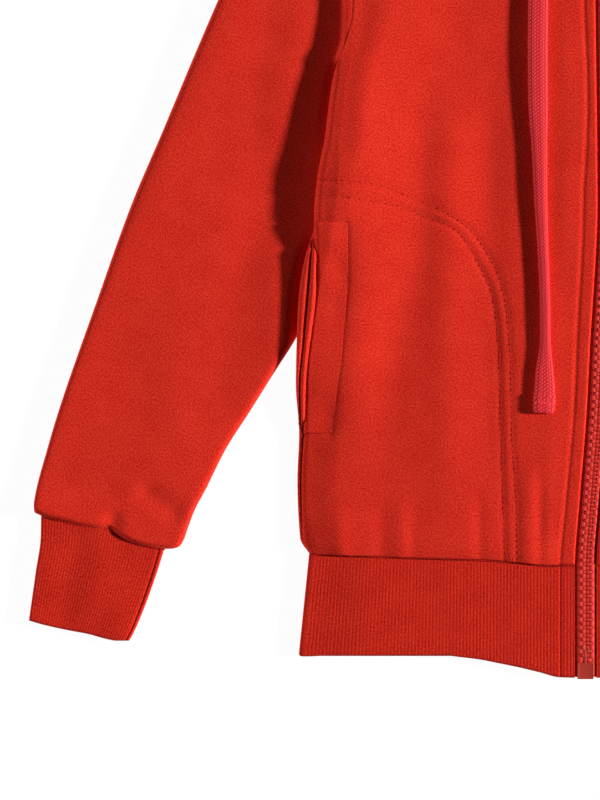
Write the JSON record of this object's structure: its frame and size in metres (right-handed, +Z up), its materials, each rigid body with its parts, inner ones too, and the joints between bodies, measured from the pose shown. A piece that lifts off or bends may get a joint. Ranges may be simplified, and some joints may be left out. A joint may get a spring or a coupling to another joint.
{
  "type": "kids hoodie",
  "caption": "Child's zip hoodie in brushed fleece laid flat, front up, with closed zip, welt pockets, drawcord, ribbed cuffs and waistband.",
  "frame": {"origin": "under the middle of the garment's outline, on the surface that it lies on", "axes": "+X towards the wearer's left, +Y from the hem to the hood, +Z up, out of the garment's front"},
  "size_m": [0.62, 0.7913, 0.016],
  "materials": {
    "fleece": "matt brushed knit",
    "rib": "matt ribbed knit",
    "braid": "flat braid with a slight sheen",
    "zip_tape": "matt woven tape",
    "zip_plastic": "moulded, satin",
    "enamel": "smooth enamel"
  },
  "bodies": {
    "garment": {"back": "fleece", "front_right": "fleece", "front_left": "fleece", "sleeve_right": "fleece", "sleeve_left": "fleece", "cuff_right": "rib", "cuff_left": "rib", "hood_right": "fleece", "hood_left": "fleece", "waistband": "rib", "pocket_welt_right": "fleece", "pocket_welt_left": "fleece", "pocket_facing_right": "fleece", "pocket_facing_left": "fleece", "drawcord_right": "braid", "drawcord_left": "braid", "eyelet_right": "enamel", "eyelet_left": "enamel", "zip_tape_right": "zip_tape", "zip_tape_left": "zip_tape", "zip_teeth": "zip_plastic", "zip_box": "zip_plastic", "zip_slider": "enamel"},
    "pull": {"zip_pull": "enamel"}
  },
  "joints": [
    {"name": "pull_hinge", "type": "hinge", "parent": "garment", "child": "pull", "pos_m": [0.0101, 0.061, 0.00885], "axis": [-1, 0, 0], "range_deg": [0, 165]}
  ]
}
